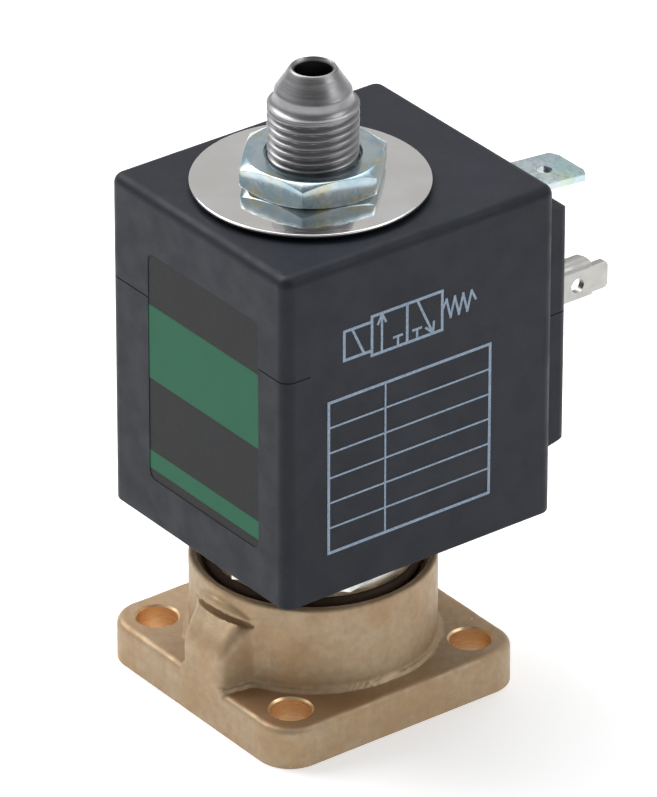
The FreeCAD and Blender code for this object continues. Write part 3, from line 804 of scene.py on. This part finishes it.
def coil_nut():
    low, high = box_mm("coil_nut")
    bore = STUD_R + 0.03
    sink = NUT_SINK_R - bore

    def section(angle):
        r = hex_radius(angle, NUT_AF, NUT_TURN)
        foot_r = min(NUT_BEVEL_FOOT_R, r)
        top_r = min(NUT_BEVEL_TOP_R, r)
        return [(bore, low.z + sink), (NUT_SINK_R, low.z), (foot_r, low.z),
                (r, low.z + (r - foot_r) * NUT_BEVEL), (r, high.z - (r - top_r) * NUT_BEVEL),
                (top_r, high.z), (NUT_SINK_R, high.z), (bore, high.z - sink)]

    nut = swept_round("hex_nut", section, hex_angles(NUT_TURN, 24))
    bevelled(nut, 0.07, 2, 24)
    finish_mesh(nut)
    stands_for(nut, "coil_nut", "valve", "zinc_plating")


HEX_AF = 22.2
HEX_TURN = 40.7
HEX_FOOT = 16.4
HEX_BEVEL_R = 11.1
HEX_BEVEL = math.tan(math.radians(20))
NECK_R = 9.94
COLLAR_R = 11.3
COLLAR_Z = 15.2
TUBE_FIT_R = 4.97
WELL_R = 6.6
WELL_TOP = 15.4


def tube_base():
    low, high = box_mm("tube_base")

    def section(angle):
        r = hex_radius(angle, HEX_AF, HEX_TURN)
        bevel_r = min(HEX_BEVEL_R, r)
        drop = (r - bevel_r) * HEX_BEVEL
        return [(WELL_R, low.z), (NECK_R, low.z), (NECK_R, COLLAR_Z), (COLLAR_R, COLLAR_Z),
                (COLLAR_R, HEX_FOOT), (r, HEX_FOOT), (r, high.z - drop), (bevel_r, high.z),
                (TUBE_FIT_R, high.z), (TUBE_FIT_R, WELL_TOP), (WELL_R, WELL_TOP)]

    base = swept_round("stem_hex", section, hex_angles(HEX_TURN, 16))
    bevelled(base, 0.08, 2, 24)
    finish_mesh(base)
    stands_for(base, "tube_base", "valve", "tube_base_plating")


# ---------------------------------------------------------------- stem

THREAD_PITCH = 0.907
THREAD_DEPTH = 0.52
THREAD_START = 57.2
THREAD_END = 68.35
THREAD_FADE = 0.7
THREAD_ROWS = 14            # rows of points to each turn
NECK_FLARE_TOP = 69.25
STEM_NECK_R = 4.12
CONE_FOOT = 70.0
CONE_FOOT_R = 4.08
CONE_HEAD = 72.2
CONE_HEAD_R = 2.65
TIP_R = 2.35
EXHAUST_R = 1.95
EXHAUST_MOUTH_R = 2.24
EXHAUST_MOUTH_DEPTH = 0.45
EXHAUST_FLOOR = 43.0
EXHAUST_ORIFICE_R = 1.0
SHADING_INNER_R = 2.9
SHADING_OUTER_R = 3.7
SHADING_TOP = 42.0
TUBE_TOP = 56.52
CORE_R = 4.48


def thread_cut(z, angle):
    """Depth of the right-handed thread at a height and direction."""
    turn = (z / THREAD_PITCH - angle / FULL_TURN) % 1.0
    fade = min(1.0, max(0.0, (THREAD_END - z) / THREAD_FADE), max(0.0, (z - THREAD_START) / THREAD_FADE))
    return THREAD_DEPTH * fade * (0.5 - 0.5 * math.cos(FULL_TURN * turn)) ** 1.25


def fixed_core():
    low, high = box_mm("fixed_core")
    foot = [(EXHAUST_ORIFICE_R, low.z), (SHADING_INNER_R, low.z), (SHADING_INNER_R, SHADING_TOP),
            (SHADING_OUTER_R, SHADING_TOP), (SHADING_OUTER_R, low.z), (CORE_R, low.z),
            (CORE_R, TUBE_TOP), (STUD_R, TUBE_TOP)]
    rows = int((THREAD_END - THREAD_START) / THREAD_PITCH * THREAD_ROWS)
    thread = [(STUD_R, THREAD_START + (THREAD_END - THREAD_START) * i / rows) for i in range(rows + 1)]
    flare = []
    for i in range(1, 9):
        part = i / 8
        ease = math.sin(part * math.pi / 2) ** 0.8
        flare.append((STUD_R - (STUD_R - STEM_NECK_R) * ease,
                      THREAD_END + (NECK_FLARE_TOP - THREAD_END) * part ** 1.4))
    head = [(STEM_NECK_R, CONE_FOOT - 0.25), (STEM_NECK_R - 0.01, CONE_FOOT - 0.08),
            (CONE_FOOT_R - 0.06, CONE_FOOT + 0.08), (CONE_HEAD_R + 0.06, CONE_HEAD - 0.1),
            (CONE_HEAD_R - 0.04, CONE_HEAD + 0.06), (TIP_R + 0.14, high.z - 0.07), (TIP_R, high.z),
            (EXHAUST_MOUTH_R + 0.05, high.z), (EXHAUST_MOUTH_R, high.z - 0.04),
            (EXHAUST_R, high.z - EXHAUST_MOUTH_DEPTH), (EXHAUST_R, EXHAUST_FLOOR),
            (EXHAUST_ORIFICE_R, EXHAUST_FLOOR)]
    outline = foot + thread + flare + head
    first = len(foot)
    last = first + len(thread)

    def section(angle):
        return [(r - thread_cut(z, angle), z) if first <= i < last else (r, z)
                for i, (r, z) in enumerate(outline)]

    steps = 128
    core = swept_round("stem", section, [FULL_TURN * i / steps for i in range(steps)])
    finish_mesh(core, math.radians(38))
    stands_for(core, "fixed_core", "valve", "core_steel")


WASHER_BORE_R = 5.15
WASHER_EDGE = 0.12
WASHER_SHIFT = 0.27         # it sits a little off the stem's axis, because its bore is loose


def disc_washer():
    low, high = box_mm("disc_washer")
    outer = high.x
    inner = WASHER_BORE_R
    edge = WASHER_EDGE
    rim = [(outer - edge + edge * math.sin(a), low.z + edge - edge * math.cos(a))
           for a in (0, math.pi / 6, math.pi / 3, math.pi / 2)]
    top = [(r, high.z + low.z - z) for r, z in reversed(rim)]
    washer = turned("washer", [(inner, low.z)] + rim + top + [(inner, high.z)], 192)
    right = Vector((math.cos(math.radians(CAMERA_AZIMUTH)), math.sin(math.radians(CAMERA_AZIMUTH)), 0))
    washer.data.transform(Matrix.Translation(-right * WASHER_SHIFT * MM))
    finish_mesh(washer)
    stands_for(washer, "disc_washer", "valve", "washer_polish")


# ---------------------------------------------------------------- terminals

EARTH_HOLE_Y = 30.85
EARTH_HOLE_R = 0.88
EARTH_NOSE = 1.0
EARTH_CUT = 0.55
EARTH_BEND_Y = 27.6         # the blade is bent down a little from here on
EARTH_DROOP = math.tan(math.radians(5.0))
BLADE_T = 0.8


def earth_terminal():
    low, high = box_mm("earth_terminal")
    half = high.x
    foot_z = low.z
    z = high.z - BLADE_T
    root = low.y
    outline = [(-half, root, z), (half, root, z), (half, high.y - EARTH_CUT, z),
               (half - EARTH_NOSE, high.y, z), (EARTH_NOSE - half, high.y, z),
               (-half, high.y - EARTH_CUT, z)]
    tab = prism("earth_blade", outline, (0, 0, BLADE_T))
    foot = prism("tool", [(-half, root, foot_z), (half, root, foot_z), (half, root + BLADE_T, foot_z),
                          (-half, root + BLADE_T, foot_z)], (0, 0, z - foot_z + 0.1))
    carved(tab, foot, "UNION")
    bevelled(tab, 0.12, 3, 30)
    carved(tab, round_tool(EARTH_HOLE_R, (0, EARTH_HOLE_Y, z - 1), (0, EARTH_HOLE_Y, z + 2), 48))
    bend_down(tab)
    finish_mesh(tab)
    stands_for(tab, "earth_terminal", "coil", "zinc_plating", "earth_plating")


def bend_down(tab):
    """Bends the earth blade down a little, past the line where it comes out of the pad."""
    mesh = bmesh.new()
    mesh.from_mesh(tab.data)
    for step in (-1, 0, 1):
        bmesh.ops.bisect_plane(mesh, geom=mesh.verts[:] + mesh.edges[:] + mesh.faces[:],
                               plane_co=(0, (EARTH_BEND_Y + step) * MM, 0), plane_no=(0, 1, 0))
    for vertex in mesh.verts:
        past = vertex.co.y / MM - EARTH_BEND_Y
        drop = past if past > 1 else (max(0.0, past + 1) / 2) ** 2
        vertex.co.z -= drop * EARTH_DROOP * MM
    mesh.to_mesh(tab.data)
    mesh.free()


LINE_BEND_R = 1.2
LINE_TRIM = 0.3             # the blade is this much shorter than its solid, above and below
LINE_SHOULDER = 33.3
LINE_FOLD_END = 32.3
TONGUE_BOTTOM = 37.3
TONGUE_TOP = 40.5
TONGUE_ROUND = 0.6
LINE_HOLE_Y = 31.3
LINE_HOLE_Z = 38.7
LINE_HOLE_R = 0.85


def line_terminal(side, name):
    node = "line_terminal_" + name
    low, high = box_mm(node)
    outer = max(abs(low.x), abs(high.x))
    fold = min(abs(low.x), abs(high.x))
    inner = outer - BLADE_T
    foot = low.z + LINE_TRIM
    top = high.z - LINE_TRIM
    outside = arc(outer - LINE_BEND_R, top - LINE_BEND_R, LINE_BEND_R, 0, 90, 8)
    inside = arc(outer - LINE_BEND_R, top - LINE_BEND_R, LINE_BEND_R - BLADE_T, 90, 0, 6)
    section = [(inner, foot), (outer, foot)] + outside + [(fold, top), (fold, top - BLADE_T)] + inside
    web = prism(node + "_blade", [(x, low.y, z) for x, z in section], (0, LINE_SHOULDER - low.y, 0))
    clip_z = top - BLADE_T - 0.3
    clip = prism("tool", [(fold - 1, LINE_FOLD_END - 0.3, clip_z),
                          (outer + 0.6, LINE_SHOULDER + 0.35, clip_z),
                          (fold - 1, LINE_SHOULDER + 1, clip_z)], (0, 0, 2))
    carved(web, clip)
    round_r = TONGUE_ROUND
    tip = high.y - round_r
    back = LINE_SHOULDER - 0.5
    outline = [(back, TONGUE_BOTTOM)] + arc(tip, TONGUE_BOTTOM + round_r, round_r, -90, 0, 6)
    outline += arc(tip, TONGUE_TOP - round_r, round_r, 0, 90, 6) + [(back, TONGUE_TOP)]
    tongue = prism("tool", [(inner, y, z) for y, z in outline], (BLADE_T, 0, 0))
    carved(web, tongue, "UNION")
    bevelled(web, 0.14, 3, 30)
    carved(web, round_tool(LINE_HOLE_R, (inner - 1, LINE_HOLE_Y, LINE_HOLE_Z),
                           (outer + 1, LINE_HOLE_Y, LINE_HOLE_Z), 48))
    if side < 0:
        web.data.transform(Matrix.Scale(-1, 4, (1, 0, 0)))
        web.data.flip_normals()
    finish_mesh(web)
    stands_for(web, node, "coil", "tinned_brass")


# ---------------------------------------------------------------- print on the coil's side

INK_T = 0.02
INK_STEP = 0.00008          # each stroke lies this much higher, by its first point
INK_SUNK = 0.005
RULE_W = 0.28
FRAME_W = 0.34
THIN_W = 0.22


def side_print():
    """A plain three-port valve symbol over a blank table of ruled lines."""
    x = box_mm("coil_housing")[1].x - INK_SUNK
    points = []
    faces = []

    def stroke(y0, z0, y1, z1, width=RULE_W):
        along = Vector((y1 - y0, z1 - z0))
        side = Vector((-along.y, along.x)).normalized() * width / 2
        reach = along.normalized() * width / 2
        corners = [Vector((y0, z0)) - reach - side, Vector((y1, z1)) + reach - side,
                   Vector((y1, z1)) + reach + side, Vector((y0, z0)) - reach + side]
        start = len(points)
        top = x + INK_T + start * INK_STEP
        points.extend((x, c.x, c.y) for c in corners)
        points.extend((top, c.x, c.y) for c in corners)
        faces.append(tuple(start + i for i in (3, 2, 1, 0)))
        faces.append(tuple(start + i for i in (4, 5, 6, 7)))
        faces.extend((start + i, start + (i + 1) % 4, start + 4 + (i + 1) % 4, start + 4 + i)
                     for i in range(4))

    def path(corners, closed=False, width=RULE_W):
        ends = corners[1:] + (corners[:1] if closed else [])
        for (y0, z0), (y1, z1) in zip(corners, ends):
            stroke(y0, z0, y1, z1, width)

    size = 4.6
    left = -4.0
    foot = 46.4
    head = foot + size
    for k in (0, 1):
        y = left + k * size
        path([(y, foot), (y + size, foot), (y + size, head), (y, head)], True, FRAME_W)
    path([(left + 1.3, foot), (left + 1.3, head)])
    path([(left + 0.8, head - 1.1), (left + 1.3, head - 0.1), (left + 1.8, head - 1.1)])
    path([(left + 3.4, foot + 1.2), (left + 3.4, foot)])
    path([(left + 2.9, foot + 1.2), (left + 3.9, foot + 1.2)])
    second = left + size
    path([(second + 1.3, head), (second + 3.4, foot)])
    path([(second + 2.5, foot + 0.9), (second + 3.4, foot + 0.1), (second + 3.5, foot + 1.3)])
    path([(second + 1.3, foot + 1.2), (second + 1.3, foot)])
    path([(second + 0.8, foot + 1.2), (second + 1.8, foot + 1.2)])
    coil_l = left - 3.6
    path([(coil_l, foot + 0.6), (left, foot + 0.6), (left, head - 0.6), (coil_l, head - 0.6)], True, FRAME_W)
    path([(coil_l + 1.0, head - 0.6), (coil_l + 2.6, foot + 0.6)])
    spring = [(second + size + 0.55 * i, foot + size / 2 + (1.1 if i % 2 else -1.1) * (0 < i < 8))
              for i in range(9)]
    path(spring)

    table_l, table_r = -9.6, 11.6
    table_t, table_b = 42.6, 24.6
    rows = 6
    path([(table_l, table_b), (table_r, table_b), (table_r, table_t), (table_l, table_t)], True, FRAME_W)
    for i in range(1, rows):
        z = table_b + (table_t - table_b) * i / rows
        stroke(table_l, z, table_r, z, THIN_W)
    stroke(table_l + 7.4, table_b, table_l + 7.4, table_t, THIN_W)
    ink = new_object("side_print", points, faces)
    ink.data.materials.append(MATERIALS["print_ink"])
    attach(ink, "coil")


# ---------------------------------------------------------------- inner pieces

NODE_MATERIALS = {
    "coil_housing": "coil_moulding",
    "coil_label": "label_film",
    "spring_washer": "spring_washer_steel",
    "guide_tube": "guide_tube_steel",
    "shading_ring": "shading_copper",
    "plunger": "plunger_steel",
    "plunger_seal": "seal_rubber",
    "exhaust_seal": "seal_rubber",
    "inlet_oring": "oring_rubber",
    "outlet_oring": "oring_rubber",
    "tube_oring": "oring_rubber",
    "yoke_frame": "yoke_steel",
    "bobbin": "bobbin_plastic",
    "copper_winding": "enamelled_copper",
    "winding_tape": "polyester_tape",
    "lead_wire_left": "lead_insulation",
    "lead_wire_right": "lead_insulation",
}


def paint_nodes():
    """Gives the CAD nodes that keep their shape their materials."""
    for node, material in NODE_MATERIALS.items():
        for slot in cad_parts[node].material_slots:
            slot.material = MATERIALS[material]


def pressed_spring(node, body):
    """A spring with the CAD node's coils, copied as they are onto the given body."""
    coils = bpy.data.objects.new(node + "_coils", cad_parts[node].data.copy())
    coils.data.materials.clear()
    bpy.context.collection.objects.link(coils)
    stands_for(coils, node, body, "spring_steel")
    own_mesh(coils)


# ---------------------------------------------------------------- studio

FLOOR_HALF_M = 3.0
FLOOR_GLOW = 0.34           # a back-lit table, so that shadows stay faint
WORLD_LIGHT = 0.56
WORLD_DARK = 0.24           # towards the camera's side, where the studio is unlit
DARK_ELEVATION = 52
DARK_STARTS = 0.45          # cosine of the angle from the darkest direction
DARK_FULL = 0.95


def pale_floor():
    half = FLOOR_HALF_M / MM
    floor = new_object("floor", [(-half, -half, 0), (half, -half, 0), (half, half, 0), (-half, half, 0)],
                       [(0, 1, 2, 3)])
    s = Shade("studio_floor", roughness=0.85)
    s.colour(s.blend(s.noise(400, 2.0), (0.93, 0.93, 0.93, 1), (0.91, 0.91, 0.91, 1)))
    s.shader.inputs["Emission Color"].default_value = (1, 1, 1, 1)
    s.shader.inputs["Emission Strength"].default_value = FLOOR_GLOW
    floor.data.materials.append(s.material)


def softbox(name, azimuth, elevation, distance, width, height, power):
    """A rectangular light that looks at the middle of the valve."""
    data = bpy.data.lights.new(name, "AREA")
    data.shape = "RECTANGLE"
    data.size = width
    data.size_y = height
    data.energy = power
    back = direction(azimuth, elevation)
    light = bpy.data.objects.new(name, data)
    light.location = Vector((0, 0, AIM_HEIGHT * MM)) + back * distance
    light.rotation_euler = back.to_track_quat("Z", "Y").to_euler()
    bpy.context.collection.objects.link(light)


def studio_walls():
    """Soft white walls, with a darker patch above the camera."""
    world = bpy.data.worlds.new("studio")
    world.use_nodes = True
    nodes = world.node_tree.nodes
    links = world.node_tree.links
    place = nodes.new("ShaderNodeTexCoord")
    towards = nodes.new("ShaderNodeVectorMath")
    towards.operation = "DOT_PRODUCT"
    towards.inputs[1].default_value = direction(CAMERA_AZIMUTH, DARK_ELEVATION)
    fade = nodes.new("ShaderNodeMapRange")
    fade.interpolation_type = "SMOOTHSTEP"
    fade.inputs["From Min"].default_value = DARK_STARTS
    fade.inputs["From Max"].default_value = DARK_FULL
    fade.inputs["To Min"].default_value = WORLD_LIGHT
    fade.inputs["To Max"].default_value = WORLD_DARK
    links.new(place.outputs["Generated"], towards.inputs[0])
    links.new(towards.outputs["Value"], fade.inputs["Value"])
    links.new(fade.outputs["Result"], nodes["Background"].inputs["Strength"])
    nodes["Background"].inputs["Color"].default_value = (1, 1, 1, 1)
    bpy.context.scene.world = world


def studio():
    pale_floor()
    studio_walls()
    softbox("light_left", CAMERA_AZIMUTH - 122, 46, 1.0, 0.6, 0.6, 6)
    softbox("light_right", CAMERA_AZIMUTH + 80, 40, 1.1, 0.6, 0.7, 2.6)
    softbox("light_top", CAMERA_AZIMUTH + 180, 65, 1.2, 1.2, 0.8, 7)
    bpy.context.scene.view_settings.view_transform = "Standard"


# ---------------------------------------------------------------- the whole valve

paint_nodes()
valve_body()
tube_base()
fixed_core()
disc_washer()
coil_nut()
earth_terminal()
line_terminal(1, "right")
line_terminal(-1, "left")
side_print()
pressed_spring("return_spring", "valve")
pressed_spring("exhaust_seal_spring", "plunger")
studio()
